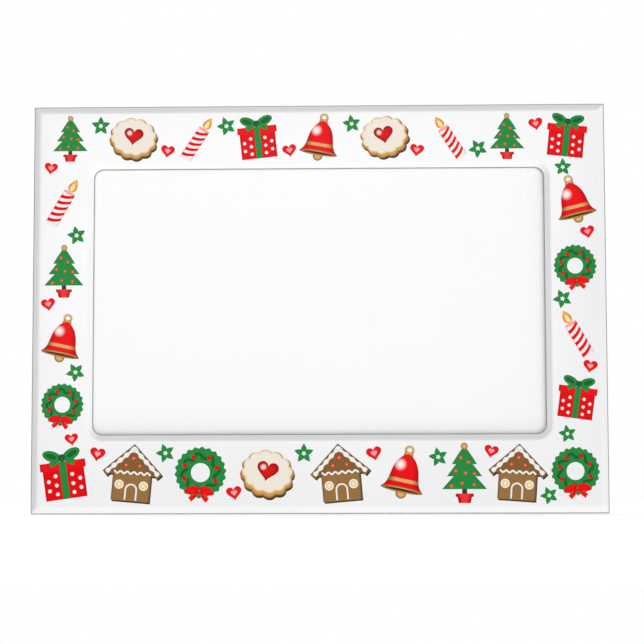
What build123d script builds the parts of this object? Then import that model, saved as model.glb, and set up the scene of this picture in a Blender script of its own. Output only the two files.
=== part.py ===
from build123d import *

import os

# A magnetic photo frame: a glossy white border with a landscape window, a clear pane behind the
# window, a thin pocket that is open at the top, a blank print with its backing card in the
# pocket, a back panel with a thumb notch, and a flexible magnet sheet that holds it to steel.
#
# Millimetres. X runs to the right as the frame is looked at, Z is up, and the front faces -Y.
# The origin is on the magnet sheet's contact face, at the centre of the frame's outline.
# Heights are measured from that face towards the viewer, so a height h lies at Y = -h.

# The print that the pocket takes, and how much of it the border hides
print_width = 152.4
print_height = 101.6
window_side_lap = 6.35
window_end_lap = 9.525

# Border around the window
side_border = 19.05
top_border = 20.0
bottom_border = 24.45
window_corner_radius = 2.9
outer_corner_radius = 0.4

# Soft bevels of the border's face, outside and around the window
outer_bevel_width = 2.05
outer_bevel_depth = 1.4
outer_blend_radius = 1.9
inner_bevel_width = 1.95
inner_bevel_depth = 1.3
inner_blend_radius = 2.0
rim_radius = 0.3
rear_rim_radius = 0.3

# Thicknesses, from the magnet to the face
magnet_thickness = 0.8
magnet_tape_thickness = 0.1
back_panel_thickness = 1.2
rear_tape_thickness = 0.15
spacer_thickness = 1.2
front_tape_thickness = 0.15
border_thickness = 2.5
pane_thickness = 0.3
pane_tape_thickness = 0.15
print_thickness = 0.25
card_thickness = 1.0

# The backing card's corners, and the room that card and print have in the pocket
card_corner_radius = 1.0
print_side_clearance = 0.5
print_seat_clearance = 0.1
print_face_clearance = 0.1

# The pane in the border's rear rebate, and the tape ring that holds it
rebate_lap = 5.0
rebate_corner_radius = 1.5
pane_clearance = 0.2
pane_corner_radius = 1.2
pane_tape_margin = 1.0
pane_tape_width = 3.0
pane_tape_corner_radius = 1.0

# Back panel, spacers and their tapes
panel_inset = 1.5
panel_corner_radius = 2.0
panel_rim_radius = 0.4
slot_lead_in = 0.5
spacer_inset = 0.6
spacer_joint_gap = 0.1
spacer_tape_inset = 0.8

# Thumb notch at the top of the back panel and the magnet
thumb_radius = 12.0
thumb_reach = 9.0
magnet_inset = 3.0
magnet_corner_radius = 3.0
magnet_notch_margin = 1.5
magnet_tape_inset = 1.0

# How far from its plane an edge may be picked out
pick_tolerance = 0.02

# Sizes that follow from the print and the border
window_width = print_width - 2 * window_side_lap
window_height = print_height - 2 * window_end_lap
frame_width = window_width + 2 * side_border
frame_height = window_height + top_border + bottom_border
window_rise = (bottom_border - top_border) / 2

# Heights above the magnet's contact face
magnet_tape_back = magnet_thickness
panel_back = magnet_tape_back + magnet_tape_thickness
rear_tape_back = panel_back + back_panel_thickness
spacer_back = rear_tape_back + rear_tape_thickness
front_tape_back = spacer_back + spacer_thickness
border_back = front_tape_back + front_tape_thickness
face_height = border_back + border_thickness
pane_tape_back = border_back + pane_thickness
rebate_depth = pane_thickness + pane_tape_thickness
print_back = border_back - print_face_clearance - print_thickness
card_back = print_back - card_thickness

# Places across and up the frame
print_bottom = window_rise - print_height / 2
print_top = window_rise + print_height / 2
panel_width = frame_width - 2 * panel_inset
panel_height = frame_height - 2 * panel_inset
notch_centre = print_top - thumb_reach + thumb_radius
pocket_half_width = print_width / 2 + print_side_clearance
pocket_floor = print_bottom - print_seat_clearance
spacer_half_width = panel_width / 2 - spacer_inset
spacer_top = panel_height / 2 - spacer_inset
side_spacer_bottom = pocket_floor + spacer_joint_gap
magnet_width = panel_width - 2 * magnet_inset
magnet_height = panel_height - 2 * magnet_inset


def slab(outline, back, thickness):
    """A flat sheet, from an outline across X and Z, whose rear face is at a height."""
    return extrude(Plane.XZ.offset(back) * outline, amount=thickness)


def rounded(width, height, radius, rise=0):
    """A rectangle with round corners, its centre a little way up."""
    return Pos(0, rise) * RectangleRounded(width, height, radius)


def grown_window(margin, radius):
    """The window's outline, larger all round by a margin."""
    return rounded(window_width + 2 * margin, window_height + 2 * margin, radius, window_rise)


def span(left, right, bottom, top):
    """A rectangle between two X and two Z values."""
    return Pos((left + right) / 2, (bottom + top) / 2) * Rectangle(right - left, top - bottom)


def thumb_opening(radius):
    """A notch with a round floor, open past the frame's top edge."""
    return Pos(0, notch_centre) * Circle(radius) + span(-radius, radius, notch_centre, frame_height / 2)


def front_face(body):
    """The flat face that the viewer sees."""
    return body.faces().sort_by(Axis.Y)[0]


def rear_face(body):
    """The flat face that lies nearest the magnet."""
    return body.faces().sort_by(Axis.Y)[-1]


def edges_at_height(body, height):
    """The edges that lie at one height above the magnet's contact face."""
    return body.edges().filter_by_position(Axis.Y, -height - pick_tolerance, -height + pick_tolerance)


def front_border():
    """The border: a plate with a window, soft bevels in front and a rebate behind for the pane."""
    outline = Rectangle(frame_width, frame_height) - grown_window(0, window_corner_radius)
    body = slab(outline, border_back, border_thickness)
    face = front_face(body)
    body = chamfer(face.outer_wire().edges(), outer_bevel_width, outer_bevel_depth, reference=face)
    face = front_face(body)
    body = chamfer(face.inner_wires()[0].edges(), inner_bevel_width, inner_bevel_depth, reference=face)
    body = fillet(front_face(body).outer_wire().edges(), outer_blend_radius)
    body = fillet(front_face(body).inner_wires()[0].edges(), inner_blend_radius)
    body = fillet(edges_at_height(body, face_height - inner_bevel_depth), rim_radius)
    body = fillet(edges_at_height(body, face_height - outer_bevel_depth), rim_radius)
    body = fillet(rear_face(body).outer_wire().edges(), rear_rim_radius)
    body &= slab(rounded(frame_width, frame_height, outer_corner_radius), border_back, border_thickness)
    return body - slab(grown_window(rebate_lap, rebate_corner_radius), border_back, rebate_depth)


def window_pane():
    """The clear sheet behind the window, flush with the border's rear face."""
    return slab(grown_window(rebate_lap - pane_clearance, pane_corner_radius), border_back, pane_thickness)


def pane_tape():
    """The thin adhesive ring between the pane and the floor of its rebate."""
    outer_margin = rebate_lap - pane_tape_margin
    inner_margin = outer_margin - pane_tape_width
    outer = grown_window(outer_margin, pane_tape_corner_radius + pane_tape_width)
    ring = outer - grown_window(inner_margin, pane_tape_corner_radius)
    return slab(ring, pane_tape_back, pane_tape_thickness)


def rail_spans():
    """The left, right and bottom rails of the pocket, as X and Z limits."""
    return {
        "left": (-spacer_half_width, -pocket_half_width, side_spacer_bottom, spacer_top),
        "right": (pocket_half_width, spacer_half_width, side_spacer_bottom, spacer_top),
        "bottom": (-spacer_half_width, spacer_half_width, -spacer_top, pocket_floor),
    }


def spacer(limits):
    """One rail between the border and the back panel."""
    return slab(span(*limits), spacer_back, spacer_thickness)


def spacer_tape(limits, back, thickness):
    """The double-sided tape on one face of a rail, a little smaller than the rail."""
    left, right, bottom, top = limits
    inset = spacer_tape_inset
    return slab(span(left + inset, right - inset, bottom + inset, top - inset), back, thickness)


def back_panel():
    """The rear sheet, with the thumb notch and a lead-in for the print along its top edge."""
    outline = rounded(panel_width, panel_height, panel_corner_radius) - thumb_opening(thumb_radius)
    body = slab(outline, panel_back, back_panel_thickness)
    top_edges = edges_at_height(body, rear_tape_back).filter_by(Axis.X).group_by(Axis.Z)[-1]
    body = chamfer(top_edges, slot_lead_in)
    return fillet(rear_face(body).outer_wire().edges(), panel_rim_radius)


def magnet_outline(inset):
    """The magnet sheet's outline, notched for the thumb, smaller all round by an inset."""
    sheet = rounded(magnet_width - 2 * inset, magnet_height - 2 * inset, magnet_corner_radius - inset)
    return sheet - thumb_opening(thumb_radius + magnet_notch_margin + inset)


def magnet_sheet():
    """The flexible magnet that the frame hangs by."""
    return slab(magnet_outline(0), 0, magnet_thickness)


def magnet_tape():
    """The adhesive film that bonds the magnet to the back panel."""
    return slab(magnet_outline(magnet_tape_inset), magnet_tape_back, magnet_tape_thickness)


def photo_print():
    """A blank print, standing on the bottom rail close behind the pane."""
    return slab(Pos(0, window_rise) * Rectangle(print_width, print_height), print_back, print_thickness)


def photo_backing_card():
    """The stiff card behind the print, which it slides in and out with."""
    outline = rounded(print_width, print_height, card_corner_radius, window_rise)
    return slab(outline, card_back, card_thickness)


def main():
    parts = {
        "front_border": front_border(),
        "window_pane": window_pane(),
        "pane_tape": pane_tape(),
        "back_panel": back_panel(),
        "magnet_tape": magnet_tape(),
        "magnet_sheet": magnet_sheet(),
        "photo_print": photo_print(),
        "photo_backing_card": photo_backing_card(),
    }
    for side, limits in rail_spans().items():
        parts["spacer_" + side] = spacer(limits)
        parts["front_tape_" + side] = spacer_tape(limits, front_tape_back, front_tape_thickness)
        parts["rear_tape_" + side] = spacer_tape(limits, rear_tape_back, rear_tape_thickness)

    os.makedirs("parts", exist_ok=True)
    for name, part in parts.items():
        export_step(part, f"parts/{name}.step")


main()
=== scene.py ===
import math

import bpy
import numpy as np
from mathutils import Euler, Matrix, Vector


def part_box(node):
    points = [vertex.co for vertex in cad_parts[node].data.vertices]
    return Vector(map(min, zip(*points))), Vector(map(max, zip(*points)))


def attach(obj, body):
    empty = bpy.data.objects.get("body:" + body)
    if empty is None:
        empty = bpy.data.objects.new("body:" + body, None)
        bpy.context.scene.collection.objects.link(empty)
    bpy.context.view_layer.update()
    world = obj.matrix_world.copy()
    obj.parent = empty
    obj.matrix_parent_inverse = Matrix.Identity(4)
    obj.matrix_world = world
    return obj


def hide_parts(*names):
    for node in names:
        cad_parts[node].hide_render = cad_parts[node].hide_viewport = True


# A magnetic photo frame: a glossy white border with festive ornaments printed on it, a clear pane,
# a blank print in the pocket, a back panel and a flexible magnet. Metres, in the CAD model's frame:
# the front faces -Y and Z is up. A height is measured from the magnet's face towards the viewer.

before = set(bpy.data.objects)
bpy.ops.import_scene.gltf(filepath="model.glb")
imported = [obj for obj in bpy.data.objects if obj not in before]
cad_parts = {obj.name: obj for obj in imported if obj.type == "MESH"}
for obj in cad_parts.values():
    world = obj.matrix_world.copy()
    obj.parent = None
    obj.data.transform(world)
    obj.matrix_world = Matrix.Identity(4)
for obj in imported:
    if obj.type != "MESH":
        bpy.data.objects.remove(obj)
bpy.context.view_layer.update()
border_body = "frame"

MM = 0.001
DEGREE = math.pi / 180

# Border, as the CAD model has it
border_low, border_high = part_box("front_border")
frame_half_width = border_high[0]
frame_half_height = border_high[2]
border_back = -border_high[1]
face_height = -border_low[1]
window_half_width = 69.85 * MM
window_half_height = 41.275 * MM
window_rise = 2.225 * MM
window_radius = 2.9 * MM
corner_radius = 0.4 * MM
rim_radius = 0.3 * MM
rear_rim_radius = 0.3 * MM
rebate_lap = 5.0 * MM
rebate_radius = 1.5 * MM
rebate_depth = 0.45 * MM

# The soft bevels: width and depth to the corner of slope and face, and the radius that blends it
outer_bevel = (2.05 * MM, 1.4 * MM, 1.9 * MM)
inner_bevel = (1.95 * MM, 1.3 * MM, 2.0 * MM)

# A thin grey line of painted shade, in place of the shaded edge, runs along every moulded rim, this far in
# from the wall and down it
outer_rim_shade_line = 0.38 * MM
inner_rim_shade_line = 0.3 * MM

# Printed ink stands this far proud in all, so the bare face lies this far under the CAD face
ink_room = 0.05 * MM
ink_sink = 0.03 * MM
ink_layer = 0.007 * MM
ink_step = 0.0007 * MM
ink_sheen = 0.05

# Steps of the border's mesh, and the angle from which an edge is sharp
corner_steps = 14
side_steps = 10
rim_steps = 6
slope_steps = 4
blend_steps = 12
rear_rim_steps = 5
sharp_angle = 40 * DEGREE

# Moulded gloss: refraction, roughness and its variation, and the orange-peel height
plastic_ior = 1.49
gloss_roughness = 0.2
gloss_variation = 0.03
orange_peel_height = 0.004 * MM
orange_peel_strength = 0.6

# Nearly all soft noise lies between these values
noise_low = 0.3
noise_high = 0.7

# Camera, from the outline and the window's corners in the photograph
camera_focal_pixels = 2000
image_pixels = 644
sensor_width = 36
camera_distance = 618.6 * MM
camera_azimuth = 1.39 * DEGREE
camera_elevation = -5.066 * DEGREE
camera_roll = -0.121 * DEGREE
camera_aim = Vector((1.02, -4.95, -4.415)) * MM


# Nodes

def add_node(tree, kind, inputs=None, **settings):
    """Adds a shader node, sets its settings, and fills or links its inputs by name or number."""
    node = tree.nodes.new(kind)
    for name, value in settings.items():
        setattr(node, name, value)
    for key, value in (inputs or {}).items():
        socket = node.inputs[key]
        if isinstance(value, bpy.types.NodeSocket):
            tree.links.new(value, socket)
        else:
            socket.default_value = value
    return node


def mix_colour(tree, factor, first, second):
    """A colour between two colours, by a factor from 0 to 1."""
    return add_node(tree, "ShaderNodeMix", {0: factor, 6: first, 7: second}, data_type="RGBA").outputs[2]


def noise(tree, vector, scale, detail=3.0, roughness=0.55, distortion=0.0):
    """Soft random variation, from 0 to 1."""
    node = add_node(tree, "ShaderNodeTexNoise",
                    {"Vector": vector, "Scale": scale, "Detail": detail, "Roughness": roughness,
                     "Distortion": distortion})
    return node.outputs[0]


def remap(tree, value, low, high, new_low=0.0, new_high=1.0, smooth=False):
    """A value carried from one range to another, and kept inside it."""
    node = add_node(tree, "ShaderNodeMapRange", {0: value, 1: low, 2: high, 3: new_low, 4: new_high},
                    interpolation_type="SMOOTHSTEP" if smooth else "LINEAR")
    return node.outputs[0]


def calculate(tree, operation, first, second):
    """One sum on two values."""
    return add_node(tree, "ShaderNodeMath", {0: first, 1: second}, operation=operation).outputs[0]


def object_coordinates(tree):
    return add_node(tree, "ShaderNodeTexCoord").outputs["Object"]


def new_group(name, inputs, outputs):
    """A node group with named inputs and outputs: name to (socket type, default)."""
    group = bpy.data.node_groups.new(name, "ShaderNodeTree")
    for label, (kind, default) in inputs.items():
        socket = group.interface.new_socket(label, in_out="INPUT", socket_type=kind)
        socket.default_value = default
    for label, kind in outputs.items():
        group.interface.new_socket(label, in_out="OUTPUT", socket_type=kind)
    return group, group.nodes.new("NodeGroupInput").outputs, group.nodes.new("NodeGroupOutput").inputs


def use_group(tree, group, inputs):
    """Places a node group in a material."""
    node = add_node(tree, "ShaderNodeGroup", node_tree=group)
    for name, value in inputs.items():
        node.inputs[name].default_value = value
    return node.outputs


def gloss_film_group():
    """A moulded gloss surface: roughness that varies in faint clouds, and a fine orange-peel height."""
    group, given, result = new_group(
        "gloss_film",
        {"Roughness": ("NodeSocketFloat", gloss_roughness),
         "Variation": ("NodeSocketFloat", gloss_variation)},
        {"Roughness": "NodeSocketFloat", "Height": "NodeSocketFloat"})
    place = object_coordinates(group)
    clouds = remap(group, noise(group, place, 55.0, 4.0), noise_low, noise_high, -1.0, 1.0)
    spread = calculate(group, "MULTIPLY", clouds, given["Variation"])
    group.links.new(calculate(group, "ADD", given["Roughness"], spread), result["Roughness"])
    group.links.new(noise(group, place, 900.0, 2.0), result["Height"])
    return group


def grain_group():
    """A dull surface's grain: a speckle mask and a height, both from fine noise at one scale."""
    group, given, result = new_group(
        "fine_grain",
        {"Scale": ("NodeSocketFloat", 2500.0)},
        {"Mask": "NodeSocketFloat", "Height": "NodeSocketFloat"})
    place = object_coordinates(group)
    fine = noise(group, place, given["Scale"], 5.0, 0.7)
    group.links.new(remap(group, fine, 0.35, 0.65), result["Mask"])
    group.links.new(fine, result["Height"])
    return group


gloss_film = gloss_film_group()
fine_grain = grain_group()


# Materials

def new_material(name, **sockets):
    """A material with one Principled shader, whose constant values are set on its own sockets."""
    material = bpy.data.materials.new(name)
    material.use_nodes = True
    shader = material.node_tree.nodes["Principled BSDF"]
    for socket, value in sockets.items():
        shader.inputs[socket.replace("_", " ")].default_value = value
    return material, material.node_tree, shader


def add_bump(tree, shader, height, distance, strength=1.0):
    """Feeds a height into the shader's normal."""
    bump = add_node(tree, "ShaderNodeBump", {"Height": height, "Strength": strength, "Distance": distance})
    tree.links.new(bump.outputs[0], shader.inputs["Normal"])


def add_gloss(tree, shader):
    """Gives a material the moulded gloss surface."""
    film = use_group(tree, gloss_film, {"Roughness": gloss_roughness, "Variation": gloss_variation})
    tree.links.new(film["Roughness"], shader.inputs["Roughness"])
    add_bump(tree, shader, film["Height"], orange_peel_height, orange_peel_strength)


def colour(red, green, blue):
    """A colour written in screen values from 0 to 255, as linear light."""
    screen = np.array([red, green, blue]) / 255
    linear = np.where(screen <= 0.04045, screen / 12.92, ((screen + 0.055) / 1.055) ** 2.4)
    return (*linear.tolist(), 1.0)


def border_material():
    """White gloss plastic, a little uneven, with a thin grey line of painted shade along its moulded rims."""
    material, tree, shader = new_material("border_white_gloss", IOR=plastic_ior)
    clouds = remap(tree, noise(tree, object_coordinates(tree), 18.0), noise_low, noise_high)
    white = mix_colour(tree, clouds, colour(246, 246, 247), colour(242, 242, 243))
    # The rim attribute carries painted shade: a dark grey line along the moulded rims, in place of their
    # shaded edge.
    rim = add_node(tree, "ShaderNodeAttribute", attribute_name="rim").outputs["Fac"]
    rim_painted_shade = remap(tree, rim, 0.0, 0.6, 0.0, 0.9, smooth=True)
    tree.links.new(mix_colour(tree, rim_painted_shade, white, colour(98, 99, 102)), shader.inputs["Base Color"])
    add_gloss(tree, shader)
    return material


def motif_coordinates(tree):
    """A printed motif's own coordinates: millimetres from its centre."""
    return add_node(tree, "ShaderNodeUVMap", uv_map="motif").outputs[0]


def share_from_centre(tree):
    """0 at the middle of a printed patch, 1 at its outline."""
    return add_node(tree, "ShaderNodeAttribute", attribute_name="share").outputs["Fac"]


def ink(name, main, mottled=None, edge=None, edge_start=0.8, grain=1.2):
    """Glossy printed ink: a colour with a faint mottle, and another colour along its outline."""
    material, tree, shader = new_material(name, IOR=plastic_ior, Specular_IOR_Level=ink_sheen)
    place = motif_coordinates(tree)
    mottle = remap(tree, noise(tree, place, grain, 4.0, 0.6), noise_low, noise_high)
    shade = mix_colour(tree, mottle, main, mottled or main)
    if edge:
        rim = remap(tree, share_from_centre(tree), edge_start, 1.0, smooth=True)
        shade = mix_colour(tree, rim, shade, edge)
    tree.links.new(shade, shader.inputs["Base Color"])
    add_gloss(tree, shader)
    return material


def glossy_ink(name, main, dark, light, spot, spot_radius):
    """Ink that pictures a shiny thing: darker at its outline, with a soft bright spot."""
    material, tree, shader = new_material(name, IOR=plastic_ior, Specular_IOR_Level=ink_sheen)
    place = motif_coordinates(tree)
    rim = remap(tree, share_from_centre(tree), 0.45, 1.0, smooth=True)
    shade = mix_colour(tree, rim, main, dark)
    distance = add_node(tree, "ShaderNodeVectorMath", {0: place, 1: (*spot, 0)},
                        operation="DISTANCE").outputs[1]
    glow = remap(tree, distance, 0.15 * spot_radius, spot_radius, 1.0, 0.0, smooth=True)
    tree.links.new(mix_colour(tree, glow, shade, light), shader.inputs["Base Color"])
    add_gloss(tree, shader)
    return material


def pane_material():
    """Clear sheet: nearly all see-through, with a faint sheen."""
    material, tree, shader = new_material("clear_pane_sheet", Roughness=0.05, IOR=plastic_ior, Alpha=0.06)
    clouds = remap(tree, noise(tree, object_coordinates(tree), 30.0, 2.0), noise_low, noise_high)
    tint = mix_colour(tree, clouds, colour(250, 252, 252), colour(246, 250, 250))
    tree.links.new(tint, shader.inputs["Base Color"])
    return material


def plain_material(name, first, second, roughness, scale, bump, **sockets):
    """A dull or satin surface: two near colours mixed by its grain, and the grain as a bump."""
    material, tree, shader = new_material(name, Roughness=roughness, **sockets)
    grain = use_group(tree, fine_grain, {"Scale": scale})
    tree.links.new(mix_colour(tree, grain["Mask"], first, second), shader.inputs["Base Color"])
    add_bump(tree, shader, grain["Height"], bump)
    return material


def magnet_material():
    """Flexible magnet: dark bonded powder with the faint lines of its poles, a few scuffs lighter."""
    material, tree, shader = new_material("flexible_magnet", Roughness=0.62)
    place = object_coordinates(tree)
    grain = use_group(tree, fine_grain, {"Scale": 3200.0})
    lines = add_node(tree, "ShaderNodeTexWave", {"Vector": place, "Scale": 100.0, "Distortion": 0.25},
                     bands_direction="X").outputs[1]
    body = mix_colour(tree, grain["Mask"], colour(46, 43, 41), colour(62, 58, 55))
    lined = mix_colour(tree, remap(tree, lines, 0.75, 1.0, 0.0, 0.35), body, colour(84, 79, 75))
    scuffs = remap(tree, noise(tree, place, 60.0, 6.0, 0.7, 1.5), 0.62, 0.75, 0.0, 0.3)
    tree.links.new(mix_colour(tree, scuffs, lined, colour(112, 107, 102)), shader.inputs["Base Color"])
    add_bump(tree, shader, calculate(tree, "ADD", grain["Height"], lines), 0.02 * MM)
    return material


# Meshes

def make_object(name, points, faces, material, attributes=None, motif=None, smooth=True):
    """A mesh object at the origin, with point attributes and a UV map of motif coordinates."""
    mesh = bpy.data.meshes.new(name)
    mesh.from_pydata(points, [], faces)
    mesh.materials.append(material)
    for label, values in (attributes or {}).items():
        mesh.attributes.new(label, "FLOAT", "POINT").data.foreach_set("value", values.ravel())
    if motif is not None:
        corners = np.empty(len(mesh.loops), dtype=np.int32)
        mesh.loops.foreach_get("vertex_index", corners)
        mesh.uv_layers.new(name="motif").data.foreach_set("uv", motif[corners].ravel())
    mesh.polygons.foreach_set("use_smooth", [smooth] * len(mesh.polygons))
    if smooth:
        mesh.set_sharp_from_angle(angle=sharp_angle)
    mesh.update()
    piece = bpy.data.objects.new(name, mesh)
    bpy.context.scene.collection.objects.link(piece)
    return piece


def grid_quads(rows, columns, close_rows):
    """Quads over a grid of points whose columns close on themselves, and whose rows may."""
    row = np.arange(rows if close_rows else rows - 1)[:, None]
    column = np.arange(columns)[None, :]
    next_row = (row + 1) % rows
    next_column = (column + 1) % columns
    corners = (row * columns + column, row * columns + next_column,
               next_row * columns + next_column, next_row * columns + column)
    return np.stack([np.broadcast_to(corner, (row.size, columns)) for corner in corners], -1).reshape(-1, 4)


def signed_volume(points, quads):
    """Six times the volume inside the quads: below zero where they face inwards."""
    a, b, c, d = (points[quads[:, k]] for k in range(4))
    return (np.cross(a, b) * c + np.cross(a, c) * d).sum()


# Border

def bevel_arc(bevel):
    """The angle of a bevel's slope, and how far its arc reaches from the corner of slope and face."""
    width, depth, radius = bevel
    angle = math.atan2(depth, width)
    return angle, radius * math.tan(angle / 2)


def bevel_depth(distance, bevel):
    """How far the face has dropped at a distance from the edge: a slope, then an arc into the face."""
    width, depth, radius = bevel
    angle, tangent = bevel_arc(bevel)
    flat_from = width + tangent
    blend = radius - np.sqrt(np.maximum(radius ** 2 - (flat_from - distance) ** 2, 0))
    slope = (width - distance) * depth / width
    drop = np.where(distance < width - tangent * math.cos(angle), slope, blend)
    return np.where(distance >= flat_from, 0.0, drop)


def face_at(x, z):
    """Height of the border's face: the lower of the outer bevel and the bevel round the window."""
    outer = np.minimum(frame_half_width - np.abs(x), frame_half_height - np.abs(z))
    across = np.abs(x) - (window_half_width - window_radius)
    up = np.abs(z - window_rise) - (window_half_height - window_radius)
    corner = np.hypot(np.maximum(across, 0), np.maximum(up, 0))
    inner = corner + np.minimum(np.maximum(across, up), 0) - window_radius
    drop = np.maximum(bevel_depth(outer, outer_bevel), bevel_depth(inner, inner_bevel))
    return face_height - ink_room - drop


def rounded_ring(half_width, half_height, radius, rise):
    """Points once round a rectangle: a quarter circle at each corner, and steps along each side."""
    turn = np.linspace(0, 90 * DEGREE, corner_steps + 1)
    start = np.arange(4)[:, None] * 90 * DEGREE
    sign_x = np.array([1, -1, -1, 1])[:, None]
    sign_z = np.array([1, 1, -1, -1])[:, None]
    arc_x = sign_x * (half_width - radius) + radius * np.cos(start + turn)
    arc_z = sign_z * (half_height - radius) + radius * np.sin(start + turn)
    share = np.arange(1, side_steps) / side_steps
    side_x = arc_x[:, -1:] + (np.roll(arc_x[:, :1], -1, 0) - arc_x[:, -1:]) * share
    side_z = arc_z[:, -1:] + (np.roll(arc_z[:, :1], -1, 0) - arc_z[:, -1:]) * share
    x = np.concatenate([arc_x, side_x], 1).ravel()
    z = np.concatenate([arc_z, side_z], 1).ravel() + rise
    return x, z


def rim_arc(bevel):
    """The rounded rim between side wall and slope: distances in from the wall, drops under the face."""
    angle, _ = bevel_arc(bevel)
    reach = rim_radius * math.tan((90 * DEGREE - angle) / 2)
    turn = np.linspace(180 * DEGREE, 90 * DEGREE + angle, rim_steps)
    distance = rim_radius + rim_radius * np.cos(turn)
    drop = bevel[1] + reach - rim_radius * np.sin(turn)
    return distance, drop


def bevel_section(bevel, rim_shade_line):
    """A bevel's section from the foot of its painted rim shade line to the flat face: distances, drops, and
    shares of that painted shade.
    """
    width = bevel[0]
    angle, tangent = bevel_arc(bevel)
    blend_start = width - tangent * math.cos(angle)
    rim_distance, rim_drop = rim_arc(bevel)
    slope = np.linspace(rim_shade_line, blend_start, slope_steps)
    blend = np.linspace(blend_start, width + tangent, blend_steps + 1)[1:]
    distance = np.concatenate([[0], rim_distance, slope, blend])
    drop = np.concatenate([rim_drop[:1] + rim_shade_line, rim_drop,
                           bevel_depth(slope, bevel), bevel_depth(blend, bevel)])
    shares = np.concatenate([[0], np.clip(1 - rim_distance / rim_shade_line, 0, 1),
                             np.zeros(slope.size + blend.size)])
    return distance, drop, shares


def border_shell():
    """The border as rings carried round its section: window wall, bevel, face, bevel, side, rear, rebate."""
    top = face_height - ink_room
    rings = []

    def window_ring(margin, radius, height, share):
        ring = rounded_ring(window_half_width + margin, window_half_height + margin, radius, window_rise)
        rings.append((*ring, height, share))

    def outline_ring(inset, radius, height, share):
        ring = rounded_ring(frame_half_width - inset, frame_half_height - inset, radius, 0)
        rings.append((*ring, height, share))

    lip = border_back + rebate_depth
    window_ring(0, window_radius, lip, 0)
    # Each bevel ring carries its share of the painted shade line along the rim, stored as the rim attribute.
    for distance, drop, share in zip(*bevel_section(inner_bevel, inner_rim_shade_line)):
        window_ring(distance, window_radius + distance, top - drop, share)
    for distance, drop, share in list(zip(*bevel_section(outer_bevel, outer_rim_shade_line)))[::-1]:
        outline_ring(distance, corner_radius, top - drop, share)
    for turn in np.linspace(0, 90 * DEGREE, rear_rim_steps):
        inset = rear_rim_radius * (1 - math.cos(turn))
        height = border_back + rear_rim_radius * (1 - math.sin(turn))
        outline_ring(inset, corner_radius, height, 0)
    window_ring(rebate_lap, rebate_radius, border_back, 0)
    window_ring(rebate_lap, rebate_radius, lip, 0)

    points = np.array([np.stack([x, np.full_like(x, -height), z], -1) for x, z, height, _ in rings])
    shares = np.array([np.full(x.size, share) for x, _, _, share in rings])
    rows, columns = shares.shape
    points = points.reshape(-1, 3)
    quads = grid_quads(rows, columns, close_rows=True)
    if signed_volume(points, quads) < 0:
        quads = quads[:, ::-1]
    piece = make_object("border_shell", points, quads.tolist(), border_material(), {"rim": shares})
    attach(piece, border_body)
    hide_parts("front_border")


# Printed ornaments. A motif is drawn in millimetres from its own centre, u to the right and v up, as
# patches of ink. A patch is a closed film: rows of points, each row a closed loop, capped at both ends.
# It is given as u, v, up (1 on the film, 0 under it) and share (0 in the middle, 1 at the outline).
# A motif gives its layers from the lowest: a piece's name, its ink, and its patches.

sides = (-1, 1)


def disc(u, v, centre=(0.0, 0.0)):
    """A film inside an outline: the outline's points drawn in towards the centre, under and above."""
    share = np.array([0.3, 1, 1, 0.93, 0.82, 0.64, 0.42, 0.22, 0.06])[:, None] * np.ones_like(u)
    up = np.array([0, 0, 1, 1, 1, 1, 1, 1, 1])[:, None] * np.ones_like(u)
    return centre[0] + share * u, centre[1] + share * v, up, share


def strip(u, v, half_width, across=None, columns=5):
    """A film along a line: the line's points moved to both sides by its half width, under and above."""
    u, v = np.asarray(u, float), np.asarray(v, float)
    reach = np.broadcast_to(half_width, u.shape)[:, None]
    if across is None:
        along = np.stack([np.gradient(u), np.gradient(v)])
        across = np.stack([-along[1], along[0]]) / np.hypot(*along)
    else:
        across = np.array(across, float).reshape(2, -1) * np.ones_like(u)
    side = np.concatenate([np.linspace(-1, 1, columns), [1, -1]])
    up = np.concatenate([np.ones(columns), [0, 0]]) * np.ones((u.size, 1))
    share = np.abs(side) * np.ones((u.size, 1))
    shift_u, shift_v = (part[:, None] * reach * side for part in across)
    return u[:, None] + shift_u, v[:, None] + shift_v, up, share


def full_turn(count=36):
    return np.arange(count) / count * 2 * math.pi


def oval(width, height, centre=(0.0, 0.0), lean=0.0):
    """A disc on an ellipse: half width times cosine, half height times sine, turned by its lean."""
    turn = full_turn()
    u, v = width / 2 * np.cos(turn), height / 2 * np.sin(turn)
    cos, sin = math.cos(lean * DEGREE), math.sin(lean * DEGREE)
    return disc(u * cos - v * sin, u * sin + v * cos, centre)


def scalloped(width, height, lobes, depth, centre):
    """A disc with lobes: an ellipse whose radius falls by a depth where two lobes meet, as |sine| does."""
    turn = full_turn(lobes * 10)
    radius = 1 - depth * (1 - np.abs(np.sin(lobes * turn / 2)))
    return disc(width / 2 * radius * np.cos(turn), height / 2 * radius * np.sin(turn), centre)


def heart(width, centre=(0.0, 0.0)):
    """A heart: u is 16 sine cubed, v is 13 cosine less cosines of two, three and four times the turn."""
    turn = full_turn(48)
    unit = width / 32
    v = 13 * np.cos(turn) - 5 * np.cos(2 * turn) - 2 * np.cos(3 * turn) - np.cos(4 * turn)
    return disc(16 * unit * np.sin(turn) ** 3, unit * (v + 2), centre)


def upright(low, high, low_half, high_half, steps=8, centre=0.0, power=1.0):
    """A strip from low to high whose half width goes from one value to the other by a power."""
    share = np.linspace(0, 1, steps)
    half = high_half + (low_half - high_half) * (1 - share) ** power
    return strip(np.full(steps, centre), low + (high - low) * share, half, across=(1, 0))


def arc(radius, centre, start, end, half_width):
    """A strip along part of a circle, between two angles."""
    turn = np.linspace(start, end, 28) * DEGREE
    return strip(centre[0] + radius * np.cos(turn), centre[1] + radius * np.sin(turn), half_width, columns=3)


def flame(low, height, half_width):
    """A flame: half width is the sine of half a turn times height share to a power, widest low down."""
    share = np.linspace(0.02, 0.995, 18)
    half = half_width * np.sin(math.pi * share ** 0.62) ** 0.9
    return strip(np.zeros(18), low + height * share, half, across=(1, 0))


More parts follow.
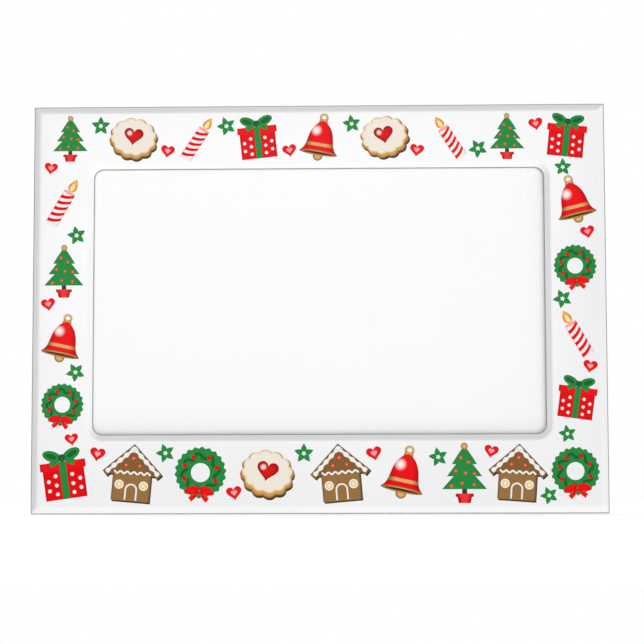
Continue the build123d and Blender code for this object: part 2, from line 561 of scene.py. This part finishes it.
def bell_part(start, end, steps):
    """A stretch of a bell between two shares of its height. Its half width is that of a dome, which
    follows powers of the height that is left, and a lip, which grows with a high power of the share."""
    share = np.linspace(start, end, steps)
    half = 3.35 * (1 - (1 - share) ** 3.4) ** 0.75 + 1.5 * share ** 7
    return strip(np.zeros(steps), 4.4 - 8.3 * share, half, across=(1, 0), columns=9)


def bow(width, height, reach, middle, lean):
    """The two loops of a bow, as ovals either side of its middle."""
    return [oval(width, height, (side * reach, middle), side * lean) for side in sides]


def bow_tails(reach, v, half_width):
    """The two ends of a bow's ribbon, from the distances, heights and half widths along one end."""
    return [strip(side * np.array(reach), v, half_width) for side in sides]


def bell():
    """A bell with a loop, a band, an open mouth and a clapper."""
    return [
        ("bell_brass", "ink_gold", [oval(2.5, 2.5, (0, -4.75)), arc(0.85, (0, 5.2), -80, 260, 0.27),
                                    upright(3.9, 4.9, 1.2, 0.75)]),
        ("bell_body", "ink_bell", [bell_part(0.004, 1, 24)]),
        ("bell_band", "ink_gold", [bell_part(0.7, 0.8, 4), oval(9.8, 1.35, (0, -3.95))]),
        ("bell_mouth", "ink_dark_gold", [oval(7.8, 0.62, (0, -4.0))]),
    ]


def biscuit():
    """A scalloped shortbread seen a little from above, sugared, with a heart of jam."""
    return [
        ("biscuit_shade", "ink_toasted_dark", [scalloped(13.6, 11.8, 12, 0.09, (0.25, -0.75))]),
        ("biscuit_rim", "ink_toasted", [scalloped(13.6, 11.8, 12, 0.09, (0, -0.2))]),
        ("biscuit_sugar", "ink_sugar", [scalloped(12.7, 10.5, 12, 0.09, (-0.1, 0.35))]),
        ("biscuit_jam", "ink_jam", [heart(5.4, (-0.1, 0.4))]),
    ]


def candle():
    """A candle with slanted bands, burning."""
    foot, top, half = -7.6, 3.4, 1.95
    u = np.linspace(-half, half, 6)
    bands = [strip(u, low + 0.45 * u + 0.4 * (u / half) ** 2, 0.52, across=(0, 1), columns=3)
             for low in np.arange(foot + 1.2, top - 1.1, 2.05)]
    return [
        ("candle_wax", "ink_white", [upright(foot, top, half, half, 10), oval(2 * half, 0.95, (0, foot)),
                                     upright(top - 0.1, top + 1.5, 0.17, 0.13, 3)]),
        ("candle_bands", "ink_red", bands),
        ("candle_top", "ink_pink", [oval(2 * half, 0.95, (0, top))]),
        ("candle_flame", "ink_flame", [flame(top + 0.5, 4.3, 1.35)]),
        ("candle_glow", "ink_glow", [flame(top + 0.8, 2.6, 0.72)]),
    ]


def fir():
    """A trimmed fir in a red pot."""
    tiers = ((-4.4, 1.6, 6.1), (-0.9, 4.6, 4.8), (2.4, 7.2, 3.4))
    beads = ((-1.0, 4.2), (1.1, 2.9), (-2.4, 0.6), (0.3, 0.0),
             (2.7, -0.2), (-3.6, -3.6), (-0.7, -2.8), (2.6, -3.2))
    return [
        ("fir_trunk", "ink_toasted_dark", [upright(-6.2, -4.2, 0.75, 0.65)]),
        ("fir_pot", "ink_pot", [upright(-8.2, -6.0, 1.6, 2.1), upright(-6.5, -5.6, 2.45, 2.45)]),
        ("fir_needles", "ink_green", [upright(low, high, half, 0.1, 12, power=0.85)
                                      for low, high, half in tiers]),
        ("fir_beads", "ink_bead", [oval(1.0, 1.0, place) for place in beads]),
        ("fir_top", "ink_gold", [oval(1.9, 1.9, (0, 7.3))]),
    ]


def gift():
    """A wrapped box with a lid, a ribbon and a bow."""
    dots = [oval(0.9, 0.9, (side * column, row)) for side in sides
            for column, row in ((1.9, -3.7), (3.6, -2.8), (1.9, -1.7), (3.6, -0.7), (1.9, 0.4))]
    ribbon = upright(-5.0, 3.5, 0.8, 0.8)
    tails = bow_tails([0.3, 1.6, 2.8], [4.2, 3.4, 3.0], [0.3, 0.5, 0.7])
    return [
        ("gift_box", "ink_red", [upright(-5.0, 2.3, 4.7, 4.7)]),
        ("gift_lid", "ink_bright_red", [upright(1.7, 3.5, 5.2, 5.2)]),
        ("gift_dots", "ink_white", dots),
        ("gift_ribbon", "ink_green", [ribbon, *bow(4.4, 2.4, 2.2, 4.9, 24), *tails]),
        ("gift_bow_inside", "ink_dark_green", bow(2.5, 1.0, 2.4, 4.95, 24)),
        ("gift_knot", "ink_dark_green", [oval(1.6, 1.7, (0, 4.3))]),
    ]


def house_form(shift_u=0.0, shift_v=0.0):
    """A house's wall, then its gable and the two sloping boards of its roof, which cross at the top."""
    boards = [strip([shift_u + side * 7.6, shift_u - side * 0.65], [shift_v - 0.25, shift_v + 7.6], 0.95)
              for side in sides]
    return [upright(-7.4 + shift_v, 1.0 + shift_v, 5.3, 5.3, centre=shift_u),
            upright(-0.2 + shift_v, 7.3 + shift_v, 6.7, 0.3, 14, centre=shift_u), *boards]


def iced_house():
    """A baked house, piped with white icing along its roof, door and windows."""
    wall, *roof = house_form()
    slope = np.linspace(0, 1, 46)
    roof_icing = [strip(side * (7.2 - 7.2 * slope), 0.15 + 6.85 * slope,
                        0.5 + 0.2 * np.sin(slope * 9 * math.pi)) for side in sides]
    arch = np.linspace(0, 180, 16) * DEGREE
    door_u = np.concatenate([[1.5, 1.5], 1.5 * np.cos(arch), [-1.5, -1.5]])
    door_v = np.concatenate([[-7.1, -5.6], -4.3 + 1.5 * np.sin(arch), [-5.6, -7.1]])
    door_icing = strip(door_u, door_v, 0.24, columns=3)
    eaves = np.linspace(-5.1, 5.1, 60)
    eaves_icing = strip(eaves, 0.35 + 0.3 * np.sin(eaves * 3.4), 0.27, columns=3)
    windows = [(side * 3.35, -3.0) for side in sides]
    window_icing = [arc(1.05, window, 0, 360, 0.24) for window in windows]
    sweets = [oval(1.1, 1.1, (side * 1.9, 2.4)) for side in sides]
    return [
        ("house_shade", "ink_toasted_dark", house_form(0.3, -0.4)),
        ("house_wall", "ink_baked_brown", [wall]),
        ("house_roof", "ink_deep_brown", roof),
        ("house_icing", "ink_icing", [*roof_icing, oval(1.5, 1.3, (0, 7.0)), door_icing, eaves_icing,
                                      *window_icing]),
        ("house_sweets", "ink_bead", [*sweets, oval(1.25, 1.25, (0, 4.4))]),
        ("house_glow", "ink_glow", [oval(1.5, 1.5, window) for window in windows]),
    ]


def rosette():
    """Five pointed leaves round a middle: half width is the sine of half a turn times share to a power."""
    share = np.linspace(0.01, 0.99, 12)
    reach = 0.45 + 2.4 * share
    half = 0.78 * np.sin(math.pi * share ** 0.6)
    leaves = [strip(reach * math.cos(turn), reach * math.sin(turn), half)
              for turn in full_turn(5) + math.pi / 2]
    return [("rosette_leaves", "ink_green", leaves)]


def sweetheart():
    """A small heart with a pale middle."""
    return [("sweetheart_rim", "ink_bright_red", [heart(4.4)]),
            ("sweetheart_middle", "ink_pink", [heart(1.9, (0, 0.1))])]


def wreath():
    """A leafy ring, whose outer edge swells with a sine squared, with a garland, beads and a red bow."""
    turn = np.linspace(-110, 250, 133) * DEGREE
    cos, sin = np.cos(turn), np.sin(turn)
    leaf = 0.25 * np.sin(11 * turn) ** 2
    ring = strip((4.3 + leaf) * cos, (4.3 + leaf) * sin, 1.85 + leaf, across=(cos, sin))
    garland = 4.3 + 0.6 * np.sin(8 * turn)
    beads = [oval(1.15, 1.15, (4.35 * math.cos(place), 4.35 * math.sin(place)))
             for place in np.array([20, 62, 118, 160, 205, 335]) * DEGREE]
    tails = bow_tails([0.3, 1.2, 2.3], [-4.9, -6.2, -7.0], [0.35, 0.5, 0.7])
    return [
        ("wreath_ring", "ink_green", [ring]),
        ("wreath_garland", "ink_dark_green", [strip(garland * cos, garland * sin, 0.38, columns=3)]),
        ("wreath_beads", "ink_red", beads),
        ("wreath_bow", "ink_bright_red", [*bow(3.7, 2.1, 1.9, -4.6, -18), *tails]),
        ("wreath_knot", "ink_pot", [oval(1.5, 1.6, (0, -4.6))]),
    ]


motif_drawings = {"bell": bell, "biscuit": biscuit, "candle": candle, "fir": fir, "gift": gift,
                  "iced_house": iced_house, "rosette": rosette, "sweetheart": sweetheart, "wreath": wreath}


def border_inks():
    """The printing inks, by name. Each is glossy, with a faint mottle and another colour at its outline."""
    white, cream, dark_red = colour(252, 250, 248), colour(240, 230, 212), colour(170, 4, 12)
    red, bright_red, tan = colour(236, 12, 20), colour(246, 22, 26), colour(206, 152, 84)
    inks = {
        "ink_white": (white, colour(250, 240, 238), colour(240, 190, 190), 0.75),
        "ink_red": (red, colour(226, 8, 16), colour(206, 4, 12), 0.85),
        "ink_bright_red": (bright_red, red, colour(214, 6, 14), 0.85),
        "ink_green": (colour(38, 144, 66), colour(34, 137, 60), colour(28, 118, 50), 0.85),
        "ink_dark_green": (colour(22, 98, 46), colour(26, 104, 48), colour(14, 74, 32), 0.7),
        "ink_pink": (colour(255, 176, 176), colour(252, 160, 162), colour(246, 120, 124), 0.8),
        "ink_gold": (colour(238, 198, 128), tan, colour(150, 100, 50), 0.45, 3.0),
        "ink_dark_gold": (colour(96, 56, 26), colour(70, 38, 18)),
        "ink_flame": (colour(250, 196, 76), colour(246, 176, 56), colour(228, 112, 26), 0.35),
        "ink_glow": (colour(255, 244, 196), colour(255, 236, 168), colour(252, 214, 110), 0.4),
        "ink_toasted_dark": (colour(74, 60, 42), colour(52, 42, 30), colour(84, 76, 62), 0.9, 2.0),
        "ink_toasted": (colour(226, 178, 108), tan, colour(168, 112, 52), 0.86, 2.4),
        "ink_sugar": (colour(250, 245, 234), cream, colour(236, 206, 158), 0.9, 3.4),
        "ink_baked_brown": (colour(160, 120, 70), colour(150, 110, 62), colour(120, 86, 48), 0.88, 2.2),
        "ink_deep_brown": (colour(142, 102, 56), colour(128, 90, 48), colour(98, 68, 38), 0.9, 2.2),
        "ink_icing": (white, colour(244, 240, 232), colour(214, 200, 180), 0.7, 2.4),
        "ink_bead": (colour(255, 150, 140), colour(255, 130, 124), colour(216, 12, 22), 0.1),
        "ink_pot": (colour(250, 60, 56), colour(244, 46, 46), dark_red, 0.2),
    }
    glossy_inks = {
        "ink_jam": (colour(222, 18, 20), dark_red, colour(255, 236, 228), (-1.3, 1.3), 1.0),
        "ink_bell": (colour(240, 16, 22), colour(204, 4, 12), colour(255, 244, 240), (-1.4, 1.7), 1.7),
    }
    return {**{name: ink(name, *look) for name, look in inks.items()},
            **{name: glossy_ink(name, *look) for name, look in glossy_inks.items()}}


# Where each motif is printed: its centre's x and z in millimetres, its lean in degrees, and its size
motif_places = [
    ("fir", -77.4, 53.2, 0, 0.88), ("biscuit", -57.6, 53.3, -8, 1.12),
    ("candle", -37.4, 53.0, -33, 0.94), ("gift", -18.8, 52.6, 6, 1.18), ("bell", 0.8, 53.1, -10, 1.22),
    ("biscuit", 20.6, 53.4, 10, 1.12), ("candle", 40.6, 53.0, 33, 0.94), ("fir", 58.6, 53.2, 0, 0.88),
    ("gift", 77.0, 52.6, -6, 1.18), ("rosette", -67.9, 57.2, 0, 1.08),
    ("sweetheart", -47.0, 49.0, -10, 1.0), ("rosette", -28.6, 56.9, 20, 1.08),
    ("sweetheart", -8.9, 49.0, 12, 1.0), ("rosette", 10.4, 57.4, 8, 1.04),
    ("sweetheart", 30.6, 48.9, -8, 1.0), ("rosette", 49.6, 49.4, 30, 1.08),
    ("sweetheart", 67.6, 56.9, 10, 1.0), ("bell", 79.0, 33.2, 14, 1.24), ("wreath", 79.2, 12.6, 6, 1.0),
    ("candle", 79.3, -8.4, 30, 1.0), ("gift", 79.2, -28.8, -8, 1.14), ("rosette", 75.8, 43.4, 0, 1.0),
    ("sweetheart", 83.2, 23.0, 12, 1.0), ("rosette", 75.2, 2.4, 24, 1.08),
    ("sweetheart", 83.4, -18.6, -10, 1.0), ("rosette", 76.2, -39.2, 10, 1.0),
    ("candle", -79.2, 33.2, -30, 1.0), ("fir", -79.0, 11.6, 0, 1.0), ("bell", -79.0, -9.4, -12, 1.24),
    ("wreath", -79.2, -29.8, -6, 1.0), ("sweetheart", -83.4, 43.8, -8, 0.95),
    ("rosette", -75.2, 22.8, 12, 1.08), ("sweetheart", -83.8, 1.2, 10, 1.0),
    ("rosette", -75.2, -19.8, 30, 1.08), ("sweetheart", -76.2, -40.6, 8, 0.95),
    ("gift", -78.4, -52.0, 8, 1.36), ("iced_house", -57.4, -51.25, -5, 1.12),
    ("wreath", -36.4, -50.8, -4, 1.2), ("biscuit", -15.8, -51.0, -12, 1.24),
    ("iced_house", 6.6, -51.25, 5, 1.12), ("bell", 26.4, -51.0, -12, 1.34),
    ("fir", 44.6, -51.1, 0, 1.12), ("iced_house", 60.9, -51.25, -4, 1.1),
    ("wreath", 78.5, -50.6, 6, 1.12), ("sweetheart", -68.2, -45.2, -10, 1.08),
    ("rosette", -47.2, -44.8, 18, 1.08), ("sweetheart", -26.0, -57.2, 10, 1.08),
    ("rosette", -4.6, -45.0, 0, 1.1), ("sweetheart", 17.0, -45.2, 14, 1.08),
    ("rosette", 36.6, -46.2, 12, 1.08), ("sweetheart", 52.8, -44.6, -12, 1.0),
    ("rosette", 70.4, -58.0, 22, 1.0),
]


def patch_faces(u, v, up):
    """The faces of a patch: quads between its rows and a cap at each end, turned so the film faces out."""
    rows, columns = u.shape
    quads = grid_quads(rows, columns, close_rows=False)
    film = quads[(up.ravel()[quads] > 0).all(1)]
    corner_u, corner_v = u.ravel()[film], v.ravel()[film]
    area = (corner_u * (np.roll(corner_v, -1, 1) - np.roll(corner_v, 1, 1))).sum()
    ring = np.arange(columns)
    faces = [*quads.tolist(), ring[::-1].tolist(), (ring + (rows - 1) * columns).tolist()]
    return faces if area > 0 else [face[::-1] for face in faces]


def print_layer(name, material, patches, places, layer):
    """One layer of a motif at all its places, as one piece: patches turned, sized and laid on the face."""
    points, faces, motif, shares = [], [], [], []
    count = 0
    for x, z, lean, size in places:
        cos, sin = size * math.cos(lean * DEGREE), size * math.sin(lean * DEGREE)
        for order, (u, v, up, share) in enumerate(patches):
            place_x = (x + cos * u - sin * v) * MM
            place_z = (z + sin * u + cos * v) * MM
            lift = ink_layer * (layer + 1) + ink_step * order
            height = face_at(place_x, place_z) + np.where(up > 0, lift, -ink_sink)
            points.append(np.stack([place_x, -height, place_z], -1).reshape(-1, 3))
            motif.append(np.stack([u, v], -1).reshape(-1, 2))
            shares.append(share.ravel())
            faces.extend([corner + count for corner in face] for face in patch_faces(u, v, up))
            count += u.size
    piece = make_object(name, np.concatenate(points), faces, material, {"share": np.concatenate(shares)},
                        np.concatenate(motif))
    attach(piece, border_body)


def print_ornaments():
    """Prints every motif on the border, layer over layer."""
    inks = border_inks()
    for kind, draw in motif_drawings.items():
        places = [place[1:] for place in motif_places if place[0] == kind]
        for layer, (name, ink_name, patches) in enumerate(draw()):
            print_layer(name, inks[ink_name], patches, places, layer)


# Carried-over pieces

def dress(node, material):
    """Gives a CAD node a finished material."""
    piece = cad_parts[node]
    for slot in piece.material_slots:
        slot.material = material


def dress_nodes():
    """Materials of every piece that keeps its CAD mesh."""
    rail = plain_material("rail_white_plastic", colour(232, 232, 230), colour(226, 226, 224), 0.38, 1800.0,
                          0.01 * MM)
    panel = plain_material("panel_white_plastic", colour(234, 234, 233), colour(226, 226, 226), 0.42, 1500.0,
                           0.015 * MM)
    tape = plain_material("tape_tissue", colour(236, 232, 220), colour(222, 216, 200), 0.6, 4000.0, 0.01 * MM)
    paper = plain_material("print_paper_white", colour(254, 254, 254), colour(251, 251, 251), 0.35, 3000.0,
                           0.002 * MM)
    card = plain_material("backing_greyboard", colour(176, 168, 156), colour(150, 142, 130), 0.85, 2200.0,
                          0.03 * MM)
    magnet = magnet_material()
    looks = {"window_pane": pane_material(), "back_panel": panel, "magnet_sheet": magnet,
             "photo_print": paper, "photo_backing_card": card, "pane_tape": tape, "magnet_tape": tape}
    for side in ("left", "right", "bottom"):
        looks["spacer_" + side] = rail
        looks["front_tape_" + side] = tape
        looks["rear_tape_" + side] = tape
    for node, material in looks.items():
        dress(node, material)


# Stage

def place_camera():
    """The photograph's view: an orbit round the aim point, and a small roll."""
    camera = bpy.data.objects.new("camera", bpy.data.cameras.new("camera"))
    camera.data.sensor_width = sensor_width
    camera.data.lens = camera_focal_pixels * sensor_width / image_pixels
    away = Vector((math.sin(camera_azimuth) * math.cos(camera_elevation),
                   -math.cos(camera_azimuth) * math.cos(camera_elevation), math.sin(camera_elevation)))
    camera.location = camera_aim + away * camera_distance
    look = (-away).to_track_quat("-Z", "Y")
    camera.rotation_euler = (look @ Euler((0, 0, camera_roll)).to_quaternion()).to_euler()
    bpy.context.scene.collection.objects.link(camera)
    bpy.context.scene.camera = camera


def seen_directly(tree):
    """1 for rays from the camera and for those that gloss and clear pieces send, 0 for the rest."""
    path = add_node(tree, "ShaderNodeLightPath").outputs
    direct = calculate(tree, "MAXIMUM", path["Is Camera Ray"], path["Is Glossy Ray"])
    return calculate(tree, "MAXIMUM", direct, path["Is Transmission Ray"])


def place_world(ambient):
    """A white studio: a white background to look at, and a soft even light from it."""
    world = bpy.data.worlds.new("studio")
    bpy.context.scene.world = world
    world.use_nodes = True
    tree = world.node_tree
    background = tree.nodes["Background"]
    background.inputs["Color"].default_value = (1, 1, 1, 1)
    strength = remap(tree, seen_directly(tree), 0.0, 1.0, ambient, 1.0)
    tree.links.new(strength, background.inputs["Strength"])


def place_floor():
    """A pale floor under the frame's lower edge, that fades to white for the camera."""
    floor_half = 3.0
    floor_glow = 0.35
    material, tree, shader = new_material("pale_floor", Base_Color=(0.8, 0.8, 0.8, 1), Roughness=0.7,
                                          Emission_Color=(1, 1, 1, 1))
    glow = remap(tree, seen_directly(tree), 0.0, 1.0, 0.0, floor_glow)
    tree.links.new(glow, shader.inputs["Emission Strength"])
    corners = np.array([[-1, -1], [1, -1], [1, 1], [-1, 1]]) * floor_half
    points = np.column_stack([corners, np.full(4, -frame_half_height)])
    floor = make_object("floor", points, [(0, 1, 2, 3)], material, smooth=False)
    floor.visible_shadow = False
    floor.visible_diffuse = False


def place_sun(name, azimuth, elevation, level, spread):
    """A soft distant lamp. Its level is the brightness it gives a white surface that faces it."""
    sun = bpy.data.objects.new(name, bpy.data.lights.new(name, "SUN"))
    sun.data.energy = level * math.pi
    sun.data.angle = spread * DEGREE
    azimuth = azimuth * DEGREE
    elevation = elevation * DEGREE
    towards = Vector((math.sin(azimuth) * math.cos(elevation), -math.cos(azimuth) * math.cos(elevation),
                      math.sin(elevation)))
    sun.rotation_euler = towards.to_track_quat("Z", "Y").to_euler()
    bpy.context.scene.collection.objects.link(sun)


def place_panel(name, place, width, height, level):
    """A lit panel that faces the frame's middle. Its level is the brightness it gives there."""
    place = Vector(place)
    panel = bpy.data.objects.new(name, bpy.data.lights.new(name, "AREA"))
    panel.data.shape = "RECTANGLE"
    panel.data.size = width
    panel.data.size_y = height
    panel.data.energy = level * (math.pi * place.length) ** 2
    panel.location = place
    panel.rotation_euler = place.to_track_quat("Z", "Y").to_euler()
    bpy.context.scene.collection.objects.link(panel)


bpy.context.scene.view_settings.view_transform = "Standard"
place_camera()
place_world(ambient=0.34)
place_floor()
place_sun("key_low_right", azimuth=33, elevation=-38, level=0.62, spread=75)
place_sun("back_upper_left", azimuth=200, elevation=50, level=0.5, spread=60)
place_panel("front_upper_left", (-0.03, -0.6, 0.11), width=0.34, height=0.24, level=0.21)
border_shell()
print_ornaments()
dress_nodes()
